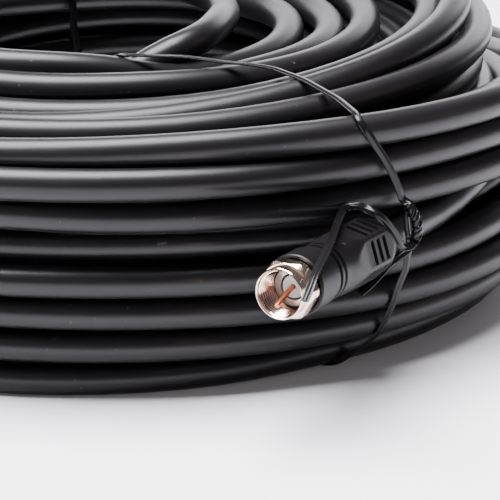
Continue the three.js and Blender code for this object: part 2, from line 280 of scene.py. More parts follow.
@dataclass(frozen=True)
class Metal:
    """Plated or bare metal with fine turning marks or scuffs, and painted shade at the bottoms of a thread's
    grooves.
    """

    name: str
    colour: Colour
    tint: Colour
    roughness: float
    roughness_change: float = 0.14
    patch_scale: float = 260.0
    mark_scale: float = 500.0
    # The colour of the painted shade at the bottoms of a thread's grooves
    root_shade: Colour = (0.07, 0.035, 0.022)

    def material(self) -> bpy.types.Material:
        """Builds the finish.

        Returns:
            The material.
        """
        shader = Shader(self.name)
        patches = shader.noise(self.patch_scale, 2.0)
        marks = shader.noise(self.mark_scale, 4.0)
        plate = shader.mix(patches.between(0.3, 0.7), self.colour, self.tint)
        shader.set(
            # Painted shade: the plate turns dark brown at the bottoms of the thread's grooves
            Base_Color=shader.mix(shader.attribute(ROOT_SHADE), plate, self.root_shade),
            Roughness=self.roughness + (marks - 0.5) * self.roughness_change,
            Normal=shader.bump(marks, 0.15, 0.00004),
            Metallic=1.0,
        )
        return shader.material


@dataclass(frozen=True)
class Foam:
    """White foamed insulation, cut across."""

    name: str
    colour: Colour
    shade: Colour
    cell_scale: float = 2500.0

    def material(self) -> bpy.types.Material:
        """Builds the finish.

        Returns:
            The material.
        """
        shader = Shader(self.name)
        cells = shader.noise(self.cell_scale, 2.0)
        shader.set(
            Base_Color=shader.mix(cells.between(0.3, 0.7), self.shade, self.colour),
            Roughness=cells * 0.2 + 0.5,
            Normal=shader.bump(cells, 0.3, 0.00005),
        )
        return shader.material


class Finish(Enum):
    """The finishes of the object, each with its slot in the record."""

    JACKET = ("cable_jacket", BlackPlastic(
        "satin_jacket", (0.0034, 0.003, 0.0036), (0.005, 0.0044, 0.0052),
        roughness=0.36, roughness_change=0.1, grain_size=0.0009, grain_depth=0.00003, dust=0.1, gloss=0.28,
    ))
    BOOT = ("moulded_boot", BlackPlastic(
        "moulded_black", (0.0026, 0.0023, 0.0027), (0.004, 0.0035, 0.0041),
        roughness=0.36, roughness_change=0.1, grain_size=0.0005, grain_depth=0.00003, dust=0.1, gloss=0.15,
    ))
    TIE = ("tie_plastic", BlackPlastic(
        "glossy_tie", (0.0022, 0.002, 0.0023), (0.004, 0.0035, 0.004),
        roughness=0.24, roughness_change=0.08, grain_size=0.0007, grain_depth=0.00003, gloss=0.22,
    ))
    NICKEL = ("nickel_plate", Metal("warm_nickel", (0.8, 0.58, 0.46), (0.88, 0.7, 0.58), 0.16))
    POST = ("post_plate", Metal("flange_plate", (0.72, 0.64, 0.6), (0.6, 0.54, 0.5), 0.3))
    INSULATION = ("white_insulation", Foam("white_foam", (0.86, 0.84, 0.82), (0.7, 0.67, 0.65)))
    COPPER = ("copper_wire", Metal("drawn_copper", (0.6, 0.22, 0.11), (0.45, 0.15, 0.075), 0.3))

    def __init__(self, slot: str, look: object) -> None:
        """Keeps the finish's slot and its look."""
        self.slot = slot
        self.look = look

    def material(self) -> bpy.types.Material:
        """The finish's material, built on first use.

        Returns:
            The material.
        """
        return bpy.data.materials.get(self.look.name) or self.look.material()


def dressed(piece: bpy.types.Object, finish: Finish, body: str, *nodes: str) -> bpy.types.Object:
    """Lets a piece ride on its body and stand for its nodes.

    Args:
        piece: The new object.
        finish: Not used.
        body: The body that carries it.
        nodes: The CAD nodes that it replaces.

    Returns:
        The piece.
    """
    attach(piece, body)
    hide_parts(*nodes)
    log.info("%s: %d faces on %s", piece.name, len(piece.data.polygons), body)
    return piece


# Shape tools


def mesh_object(name: str, mesh: bpy.types.Mesh) -> bpy.types.Object:
    """Links a mesh to the scene as an object at the origin.

    Args:
        name: The object's name.
        mesh: Its mesh.

    Returns:
        The object.
    """
    made = bpy.data.objects.new(name, mesh)
    bpy.context.scene.collection.objects.link(made)
    return made


def close_and_face_out(mesh: bpy.types.Mesh) -> None:
    """Merges doubles and turns every face outwards.

    Args:
        mesh: The mesh, changed in place.
    """
    work = bmesh.new()
    work.from_mesh(mesh)
    bmesh.ops.remove_doubles(work, verts=work.verts, dist=1e-6)
    bmesh.ops.recalc_face_normals(work, faces=work.faces)
    if work.calc_volume(signed=True) < 0:
        bmesh.ops.reverse_faces(work, faces=work.faces)
    work.to_mesh(mesh)
    work.free()


def sharpen(mesh: bpy.types.Mesh, degrees: float) -> None:
    """Shades a mesh smooth, apart from its sharp edges.

    Args:
        mesh: The mesh, changed in place.
        degrees: The bend from which an edge is sharp.
    """
    mesh.shade_smooth()
    mesh.set_sharp_from_angle(angle=math.radians(degrees))


@dataclass
class SweptPath:
    """A section run along a path by Geometry Nodes.

    Attributes:
        name: The object's name.
        points: The path in the row frame.
        section: The closed section's corners.
        finish: The finish of the swept body.
        facing: For each point the direction of the section's x, or nothing for a round section.
    """

    name: str
    points: np.ndarray
    section: np.ndarray
    finish: Finish
    facing: np.ndarray | None = None

    def _path(self) -> bpy.types.Object:
        """The path as a chain of edges, with the section's direction stored on it.

        Returns:
            An object that holds the chain.
        """
        mesh = bpy.data.meshes.new(f"{self.name}_path")
        count = len(self.points)
        mesh.from_pydata(self.points.tolist(), [(i, i + 1) for i in range(count - 1)], [])
        if self.facing is not None:
            stored = mesh.attributes.new("facing", "FLOAT_VECTOR", "POINT")
            stored.data.foreach_set("vector", self.facing.astype(np.float32).ravel())
        return mesh_object(self.name, mesh)

    def _section(self) -> bpy.types.Object:
        """The section as a closed chain of edges.

        Returns:
            An object that holds the chain.
        """
        mesh = bpy.data.meshes.new(f"{self.name}_section")
        count = len(self.section)
        points = [(x, y, 0.0) for x, y in self.section]
        mesh.from_pydata(points, [(i, (i + 1) % count) for i in range(count)], [])
        return mesh_object(f"{self.name}_section", mesh)

    def _tree(self) -> bpy.types.NodeTree:
        """The node tree that sweeps the section and gives it its material.

        Returns:
            The tree.
        """
        tree = bpy.data.node_groups.new(f"{self.name}_sweep", "GeometryNodeTree")
        for name, kind in (("Path", "Geometry"), ("Section", "Object"), ("Finish", "Material")):
            tree.interface.new_socket(name, in_out="INPUT", socket_type=f"NodeSocket{kind}")
        tree.interface.new_socket("Swept", in_out="OUTPUT", socket_type="NodeSocketGeometry")
        make, link = tree.nodes.new, tree.links.new
        entry, leave = make("NodeGroupInput"), make("NodeGroupOutput")
        curve, outline = make("GeometryNodeMeshToCurve"), make("GeometryNodeMeshToCurve")
        section, normal = make("GeometryNodeObjectInfo"), make("GeometryNodeSetCurveNormal")
        sweep, real = make("GeometryNodeCurveToMesh"), make("GeometryNodeRealizeInstances")
        paint = make("GeometryNodeSetMaterial")
        link(entry.outputs["Path"], curve.inputs[0])
        link(entry.outputs["Section"], section.inputs["Object"])
        link(section.outputs["Geometry"], outline.inputs[0])
        if self.facing is not None:
            normal.mode = "FREE"
            stored = make("GeometryNodeInputNamedAttribute")
            stored.data_type = "FLOAT_VECTOR"
            stored.inputs["Name"].default_value = "facing"
            link(stored.outputs["Attribute"], normal.inputs["Normal"])
        link(curve.outputs[0], normal.inputs["Curve"])
        link(normal.outputs[0], sweep.inputs["Curve"])
        link(outline.outputs[0], sweep.inputs["Profile Curve"])
        sweep.inputs["Fill Caps"].default_value = True
        link(sweep.outputs[0], real.inputs[0])
        link(real.outputs[0], paint.inputs[0])
        link(entry.outputs["Finish"], paint.inputs["Material"])
        link(paint.outputs[0], leave.inputs[0])
        return tree

    def build(self) -> bpy.types.Object:
        """Sweeps the section and keeps the result as a plain mesh.

        Returns:
            The swept object.
        """
        path, section, tree = self._path(), self._section(), self._tree()
        modifier = path.modifiers.new("sweep", "NODES")
        modifier.node_group = tree
        sockets = {item.name: item.identifier for item in tree.interface.items_tree if item.in_out == "INPUT"}
        modifier[sockets["Section"]] = section
        modifier[sockets["Finish"]] = self.finish.material()
        graph = bpy.context.evaluated_depsgraph_get()
        mesh = bpy.data.meshes.new_from_object(path.evaluated_get(graph))
        path.modifiers.clear()
        path.data = mesh
        mesh.name = self.name
        close_and_face_out(mesh)
        bpy.data.objects.remove(section)
        return path


def regular(radius: float, sides: int) -> np.ndarray:
    """The corners of a regular section.

    Args:
        radius: From the middle to a corner, in metres.
        sides: How many sides.

    Returns:
        The corners, in metres.
    """
    angles = 2 * np.pi * np.arange(sides) / sides
    return radius * np.column_stack([np.cos(angles), np.sin(angles)])


@dataclass
class RingStack:
    """A closed body of rings about its own axis: each ring has a radius for every angle, and a place."""

    segments: int
    rings: list[tuple[np.ndarray, float]] = field(default_factory=list)
    # How much painted shade each ring's points take
    root_shades: list[np.ndarray] = field(default_factory=list)

    def angles(self) -> np.ndarray:
        """The angles of the ring's points."""
        return 2 * np.pi * np.arange(self.segments) / self.segments

    def add(self, radius: object, place: float, root_shade: object = 0.0) -> None:
        """Adds a ring.

        Args:
            radius: One radius, or one for every angle, in millimetres.
            place: The ring's height on the axis, in millimetres.
            root_shade: How much painted shade each point takes, by how near it is to the bottom of a thread's
                groove, from 0 to 1.
        """
        self.rings.append((np.broadcast_to(np.asarray(radius, float), (self.segments,)), place))
        self.root_shades.append(np.broadcast_to(np.asarray(root_shade, float), (self.segments,)))

    def mesh(self, name: str, stand: Matrix) -> bpy.types.Mesh:
        """Joins the rings, and the last one to the first.

        Args:
            name: The mesh's name.
            stand: The body's place in the row frame.

        Returns:
            The mesh, in metres.
        """
        angles = self.angles()
        points = []
        for radius, place in self.rings:
            height = np.full_like(angles, place)
            points.append(MM * np.column_stack([radius * np.cos(angles), radius * np.sin(angles), height]))
        vertices = [stand @ Vector(point) for point in np.vstack(points)]
        count, rings = self.segments, len(self.rings)
        faces = []
        for ring in range(rings):
            near, far = ring * count, (ring + 1) % rings * count
            for k in range(count):
                right = (k + 1) % count
                faces.append((near + k, near + right, far + right, far + k))
        mesh = bpy.data.meshes.new(name)
        mesh.from_pydata(vertices, [], faces)
        # The share of painted shade at each point, kept on the mesh for its material
        mesh.attributes.new(ROOT_SHADE, "FLOAT", "POINT").data.foreach_set("value", np.concatenate(self.root_shades))
        close_and_face_out(mesh)
        return mesh


def polygon_radius(angles: np.ndarray, across_flats: float, sides: int) -> np.ndarray:
    """The radius of a regular prism's surface.

    Args:
        angles: The angles round its axis. A flat faces angle 0.
        across_flats: Its size across two flats.
        sides: How many flats.

    Returns:
        The radius at each angle.
    """
    step = 2 * np.pi / sides
    return across_flats / 2 / np.cos((angles + step / 2) % step - step / 2)


# The connector, drawn in its own frame: the mouth of the nut at z = 0 and +Z pointing out of it


@dataclass(frozen=True)
class ConnectorSizes:
    """The sizes of one connector, in millimetres."""

    nut_length: float = 8.6
    collar_diameter: float = 10.3
    collar_length: float = 2.6
    hex_across_flats: float = 11.0
    hex_length: float = 3.4
    nut_rear_diameter: float = 10.6
    hex_chamfer_diameter: float = 12.1
    hex_chamfer_length: float = 0.9
    thread_diameter: float = 9.5
    thread_depth: float = 0.43
    thread_pitch: float = 0.794
    thread_start: float = 0.3
    thread_fade: float = 0.6
    lip: float = 0.25
    edge_break: float = 0.12
    nut_shoulder: float = 1.6
    neck_diameter: float = 7.0
    flange_diameter: float = 8.0
    flange_thickness: float = 0.9
    sleeve_diameter: float = 6.4
    sleeve_bore: float = 5.2
    sleeve_in_boot: float = 11.0
    dielectric_diameter: float = 4.6
    dielectric_edge: float = 0.15
    conductor_diameter: float = 1.02
    conductor_gap: float = 0.1
    conductor_reach: float = 0.6
    conductor_droop: float = 2.2
    running_gap: float = 0.4
    clearance: float = 0.3
    boot_length: float = 33.0
    cable_diameter: float = 6.9
    cable_gap: float = 0.15

    @property
    def boot_start(self) -> float:
        """How far the boot's nose lies behind the mouth."""
        return self.nut_length + self.running_gap

    @property
    def length(self) -> float:
        """From the mouth to the boot's rear end."""
        return self.boot_start + self.boot_length

    @property
    def sleeve_end(self) -> float:
        """How far the post's sleeve reaches behind the mouth."""
        return self.boot_start + self.sleeve_in_boot

    @property
    def flange_face(self) -> float:
        """The height of the flange's front face."""
        return -(self.nut_length - self.nut_shoulder - self.clearance - self.flange_thickness)


@dataclass(frozen=True)
class ConnectorPlace:
    """Where the front connector stands, from the middle of the coil, in millimetres and degrees."""

    rear_radius: float = 105.5
    rear_azimuth: float = 33.4
    rear_height: float = 31.4
    heading: float = 28.5
    rise: float = 2.0
    back_angle: float = 229.8

    def rear(self) -> Vector:
        """The middle of the boot's rear end.

        Returns:
            The point, from the middle of the coil.
        """
        a = math.radians(self.rear_azimuth)
        return Vector((self.rear_radius * math.sin(a), -self.rear_radius * math.cos(a), self.rear_height))

    def axes(self) -> tuple[Vector, Vector, Vector]:
        """The connector's directions.

        Returns:
            Sideways, upwards and out of the nut's mouth.
        """
        h, p = math.radians(self.heading), math.radians(self.rise)
        out = Vector((-math.sin(h) * math.cos(p), -math.cos(h) * math.cos(p), math.sin(p)))
        side = Vector((0, 0, 1)).cross(out).normalized()
        return side, out.cross(side), out


PLACE = ConnectorPlace()
SIZES = ConnectorSizes()


def by_boot(forward: float, aside: float, above: float) -> Vector:
    """A point near the front connector.

    Args:
        forward: How far from the boot's rear end towards the nut, in millimetres.
        aside: How far to the connector's side.
        above: How far above its axis.

    Returns:
        The point, from the middle of the coil.
    """
    side, up, out = PLACE.axes()
    return PLACE.rear() + forward * out + aside * side + above * up


def to_row(point: Sequence[float]) -> Vector:
    """A point in the row frame.

    Args:
        point: The point in millimetres from the middle of the coil.

    Returns:
        The point in metres.
    """
    return CENTRE + Vector(point) * MM


class End(Enum):
    """The cable's two ends. The back one mirrors the front one and is turned round the coil."""

    FRONT = "front"
    BACK = "back"

    def turned(self, point: Sequence[float]) -> Vector:
        """A point or direction of the front end as it lies at this end.

        Args:
            point: The point from the middle of the coil.

        Returns:
            The point at this end, from the same middle.
        """
        if self is End.FRONT:
            return Vector(point)
        mirrored = Vector((-point[0], point[1], point[2]))
        return Matrix.Rotation(math.radians(PLACE.back_angle), 3, "Z") @ mirrored

    def stand(self) -> Matrix:
        """The place of the connector's own frame in the row frame.

        Returns:
            A matrix that takes points in metres.
        """
        side, up, out = (self.turned(axis) for axis in PLACE.axes())
        if self is End.BACK:
            side = -side
        mouth = to_row(self.turned(by_boot(SIZES.length, 0, 0)))
        turn = Matrix((side, up, out)).transposed().to_4x4()
        return Matrix.Translation(mouth) @ turn


class Connector:
    """The threaded connector on one end of the cable."""

    def __init__(self, end: End) -> None:
        """Stands the connector at its end."""
        self.end = end
        self.stand = end.stand()

    def _ringed(
        self, name: str, stack: RingStack, finish: Finish, sharp: float, body: str = "coil",
    ) -> bpy.types.Object:
        """Makes a dressed piece from its rings.

        Args:
            name: The piece's name, without its end.
            stack: The rings.
            finish: Its finish.
            sharp: The bend from which an edge is sharp, in degrees.
            body: The body that carries it.

        Returns:
            The piece.
        """
        node = f"{name}_{self.end.value}"
        mesh = stack.mesh(node, self.stand)
        sharpen(mesh, sharp)
        mesh.materials.append(finish.material())
        return dressed(mesh_object(f"{node}_dressed", mesh), finish, body, node)

    def nut(self) -> bpy.types.Object:
        """The coupling nut: a round rear, a chamfered hexagon, a plain collar and an inner thread.

        Returns:
            The nut.
        """
        s = SIZES
        stack = RingStack(120)
        angles = stack.angles()
        flats = polygon_radius(angles - math.pi / 6, s.hex_across_flats, 6)
        low = s.hex_across_flats / 2 - 0.1
        rise = s.hex_chamfer_diameter / 2 - low
        hex_end = s.collar_length + s.hex_length
        seam = 0.02
        stack.add(s.nut_rear_diameter / 2, -s.nut_length)
        stack.add(s.nut_rear_diameter / 2, -hex_end - seam)
        for depth in np.linspace(hex_end, s.collar_length, 24):
            edge = min(hex_end - depth, depth - s.collar_length)
            stack.add(np.minimum(flats, low + rise * min(1.0, edge / s.hex_chamfer_length)), -depth)
        collar, bore, floor = s.collar_diameter / 2, s.thread_diameter / 2, s.nut_length - s.nut_shoulder
        for radius, depth in (
            (collar, s.collar_length - seam), (collar, s.lip), (collar - s.lip / 2, 0.05),
            (bore + s.edge_break, 0.0), (bore, s.edge_break),
        ):
            stack.add(radius, -depth)
        for depth in np.arange(s.thread_start, floor - 0.1, s.thread_pitch / 8):
            phase = (depth / s.thread_pitch + angles / (2 * np.pi)) % 1.0
            fade = min(1.0, (depth - s.thread_start) / s.thread_fade)
            crest = 1 - np.abs(2 * phase - 1)
            # The points near the bottoms of the grooves take painted shade
            stack.add(bore - fade * s.thread_depth * crest, -depth, fade * np.clip(1.3 - 2 * crest, 0, 1))
        neck = s.neck_diameter / 2
        for radius, depth in ((bore, floor), (neck, floor), (neck, s.nut_length)):
            stack.add(radius, -depth)
        return self._ringed("coupling_nut", stack, Finish.NICKEL, 24, f"nut_{self.end.value}")

    def post(self) -> bpy.types.Object:
        """The post: a flange inside the nut on a sleeve that runs into the boot.

        Returns:
            The post.
        """
        s = SIZES
        stack = RingStack(64)
        face, back, end, edge = s.flange_face, s.flange_face - s.flange_thickness, -s.sleeve_end, s.edge_break
        bore, sleeve, flange = s.sleeve_bore / 2, s.sleeve_diameter / 2, s.flange_diameter / 2
        for radius, place in (
            (bore + edge, face), (bore, face - edge), (bore, end), (sleeve, end), (sleeve, back),
            (flange - edge, back), (flange, back + edge), (flange, face - edge), (flange - edge, face),
        ):
            stack.add(radius, place)
        return self._ringed("connector_post", stack, Finish.POST, 35)

    def dielectric(self) -> bpy.types.Object:
        """The white insulation, cut square just inside the flange.

        Returns:
            The insulation.
        """
        s = SIZES
        stack = RingStack(48)
        face, end, edge = s.flange_face, -s.sleeve_end, s.dielectric_edge
        hole, wide = s.conductor_diameter / 2 + s.conductor_gap, s.dielectric_diameter / 2
        for radius, place in (
            (hole, face), (hole, end), (wide, end), (wide, face - edge), (wide - edge, face),
        ):
            stack.add(radius, place)
        return self._ringed("dielectric", stack, Finish.INSULATION, 40)

    def conductor(self) -> bpy.types.Object:
        """The bent copper wire in the middle.

        Returns:
            The wire.
        """
        s = SIZES
        face, droop = s.flange_face, s.conductor_droop
        route = [
            (0, 0, -s.sleeve_end), (0, 0, -s.boot_start), (0, 0, face - 1), (0, 0, face),
            (0, -0.18 * droop, 0.72 * face), (0, -0.5 * droop, 0.36 * face),
            (0, -0.8 * droop, 0.05 * face), (0, -droop, s.conductor_reach),
        ]
        points = np.array([self.stand @ (Vector(point) * MM) for point in route])
        name = f"centre_conductor_{self.end.value}"
        section = regular(s.conductor_diameter / 2 * MM, 20)
        piece = SweptPath(f"{name}_dressed", smooth_path(points, 0.0004), section, Finish.COPPER).build()
        sharpen(piece.data, 40)
        return dressed(piece, Finish.COPPER, "coil", name)

    def boot(self) -> bpy.types.Object:
        """The moulded boot: a nose over the nut's rear, a collar, a grooved waist and a six-sided grip.

        Returns:
            The boot.
        """
        s = SIZES
        b = BootSizes()
        stack = RingStack(144)
        for depth in b.depths():
            stack.add(b.surface(stack.angles(), depth), -depth)
        hole, recess = s.cable_diameter / 2 + s.cable_gap, b.nose_bore / 2
        sleeve = s.sleeve_diameter / 2 + s.clearance
        for radius, depth in (
            (hole, s.length), (hole, s.sleeve_end), (sleeve, s.sleeve_end), (sleeve, s.boot_start),
            (recess, s.boot_start), (recess, b.nose + b.nose_edge), (recess + b.nose_edge, b.nose),
        ):
            stack.add(radius, -depth)
        return self._ringed("moulded_boot", stack, Finish.BOOT, 32)

    def build(self) -> list[bpy.types.Object]:
        """Builds every piece of the connector.

        Returns:
            The five pieces.
        """
        return [self.nut(), self.post(), self.dielectric(), self.conductor(), self.boot()]


@dataclass(frozen=True)
class BootSizes:
    """The boot's outer shape, in millimetres behind the mouth of the nut."""

    nose: float = 6.4
    nose_diameter: float = 12.2
    nose_bore: float = 11.3
    nose_edge: float = 0.05
    collar_diameter: float = 12.6
    collar_end: float = 12.4
    waist_diameter: float = 11.8
    grooves: tuple[float, ...] = (15.2, 17.1)
    groove_width: float = 0.9
    groove_depth: float = 0.5
    grip_start: float = 19.5
    grip_full: float = 27.5
    grip_end: float = 37.0
    grip_across_flats: float = 11.4
    grip_sides: int = 6
    grip_turn: float = 17.0
    slots: tuple[float, ...] = (30.2, 32.7, 35.2)
    slot_width: float = 1.2
    slot_depth: float = 0.75
    slot_share: float = 0.74
    end: float = 42.0
    end_diameter: float = 9.6
    end_edge: float = 0.25
    corner_cut: float = 0.15
    round_length: float = 0.3
    collar_slope: float = 0.4
    collar_lead: float = 0.15
    ring_spacing: float = 0.8
    step_length: float = 0.16

    def depths(self) -> list[float]:
        """The places of the rings, closer together at steps, grooves and slots.

        Returns:
            The places, as distances behind the mouth.
        """
        marks = {self.nose, self.nose + self.round_length, self.end - self.round_length, self.end}
        marks |= {self.collar_end - self.collar_lead, self.collar_end, self.collar_end + self.collar_slope}
        marks |= set(np.arange(self.nose + 1.2, self.end - 0.5, self.ring_spacing).round(3))
        cuts = [(groove, self.groove_width) for groove in self.grooves]
        cuts += [(slot, self.slot_width) for slot in self.slots]
        half = self.step_length / 2
        for middle, width in cuts:
            for side in (-1, 1):
                marks |= {round(middle + side * (width / 2 + shift), 3) for shift in (-half, half)}
        return sorted(marks)

    def surface(self, angles: np.ndarray, depth: float) -> np.ndarray:
        """The boot's radius: a round body that six flats cut deeper and deeper.

        Args:
            angles: The angles round the axis.
            depth: How far behind the mouth.

        Returns:
            The radius at each angle.
        """
        flat = self.grip_across_flats / 2
        corner = flat / math.cos(math.pi / self.grip_sides) - self.corner_cut
        collar, waist, end = self.collar_diameter / 2, self.waist_diameter / 2, self.end_diameter / 2
        outline = (
            (self.nose, self.nose_diameter / 2), (self.nose + self.round_length, collar),
            (self.collar_end, collar), (self.collar_end + self.collar_slope, waist),
            (self.grip_start, waist), (self.grip_full, corner), (self.grip_end, corner),
            (self.end - self.round_length, end), (self.end, end - self.end_edge),
        )
        body = float(np.interp(depth, *zip(*outline)))
        sunk = float(np.interp(depth, [self.grip_start, self.grip_full], [corner, flat]))
        turn = math.radians(self.grip_turn)
        radius = np.minimum(body, polygon_radius(angles - turn, 2 * sunk, self.grip_sides))
        for middle in self.grooves:
            if abs(depth - middle) < self.groove_width / 2:
                radius = radius - self.groove_depth
        step = 2 * np.pi / self.grip_sides
        in_facet = np.abs((angles - turn + step / 2) % step - step / 2) < step / 2 * self.slot_share
        for middle in self.slots:
            if abs(depth - middle) < self.slot_width / 2:
                radius = radius - self.slot_depth * in_facet
        return radius


def smooth_path(points: np.ndarray, spacing: float) -> np.ndarray:
    """An even, rounded path through given points.

    Args:
        points: The points to pass through. Columns past the third are carried along.
        spacing: The distance between the new points.

    Returns:
        The new points.
    """
    ends = np.vstack([2 * points[0] - points[1], points, 2 * points[-1] - points[-2]])
    fine = []
    for p0, p1, p2, p3 in zip(ends, ends[1:], ends[2:], ends[3:]):
        t = np.linspace(0, 1, 16, endpoint=False)[:, None]
        fine.append(0.5 * (2 * p1 + (p2 - p0) * t + (2 * p0 - 5 * p1 + 4 * p2 - p3) * t ** 2
                           + (3 * p1 - p0 - 3 * p2 + p3) * t ** 3))
    fine = np.vstack([*fine, points[-1:]])
    run = np.concatenate([[0], np.cumsum(np.linalg.norm(np.diff(fine[:, :3], axis=0), axis=1))])
    count = max(2, int(run[-1] / spacing))
    even = np.linspace(0, run[-1], count + 1)
    return np.column_stack([np.interp(even, run, column) for column in fine.T])


# The coil of cable


@dataclass(frozen=True)
class FrontTurn:
    """One turn that shows at the front: its radius and height at certain azimuths."""

    radius: tuple[float, ...]
    height: tuple[float, ...]
    azimuth: tuple[float, ...] = (-20.0, 5.0, 30.0, 50.0, 75.0, 95.0)

    def at(self, azimuth: float) -> np.ndarray:
        """The turn's radius and height.

        Args:
            azimuth: Where, in degrees.

        Returns:
            The two numbers.
        """
        return np.array([np.interp(azimuth, self.azimuth, values) for values in (self.radius, self.height)])


FRONT_TURNS = (
    FrontTurn((93.5, 91.5, 88.5, 88, 89, 90), (3.5, 3.5, 4, 5, 5, 4.5)),
    FrontTurn((94.5, 94.5, 94.5, 94.5, 95.5, 95.5), (11.5, 11.5, 11, 10.5, 10.5, 10.5)),
    FrontTurn((97, 97, 98, 99, 99.5, 99), (19.5, 19.5, 18, 17, 17, 18)),
    FrontTurn((99, 99, 99, 98.5, 97, 97), (26.5, 27, 25, 24, 25.5, 26.5)),
    FrontTurn((94.5, 95, 94.5, 93, 92, 92), (33, 33.5, 32, 31.5, 32, 32.5)),
    FrontTurn((99.5, 100, 100, 100, 101, 101), (42, 40, 40, 39, 38.5, 38.5)),
    FrontTurn((103.5, 102.5, 100.5, 100, 102.5, 103.5), (48, 48, 47, 46.5, 45.5, 45.5)),
    FrontTurn((97, 98, 100.5, 102.5, 102.5, 102.5), (51.5, 53, 54, 53, 53.5, 54)),
    FrontTurn((91.5, 91.5, 92, 93, 93.5, 94), (48, 48.5, 49, 49, 49, 49.5)),
    FrontTurn((85.5, 85.5, 84.5, 84, 84, 84.5), (53, 53, 54, 55, 56, 57)),
    FrontTurn((79, 77, 76, 78, 78.5, 79), (50, 52.5, 55, 58, 61, 63.5)),
    FrontTurn((69.5, 69, 69.5, 71.5, 72, 74), (51.5, 52, 53.5, 56, 57.5, 59)),
    FrontTurn((63.5, 60, 59, 59, 58.5, 58.5), (56, 56, 55, 55, 55.5, 56)),
    FrontTurn((54.5, 54, 52, 52, 51, 50.5), (50.5, 51, 54, 54, 54, 54)),
    FrontTurn((58.5, 49, 44, 43, 41.5, 41), (60, 56, 53, 53, 53.5, 54)),
    FrontTurn(
        (43, 44, 47, 49.5, 40, 34, 29.6, 26.7, 26.3), (47, 50, 55, 60, 60.5, 60.5, 60, 58, 56),
        (-20.0, 5.0, 15.0, 23.0, 33.0, 45.0, 60.0, 78.0, 95.0),
    ),
)


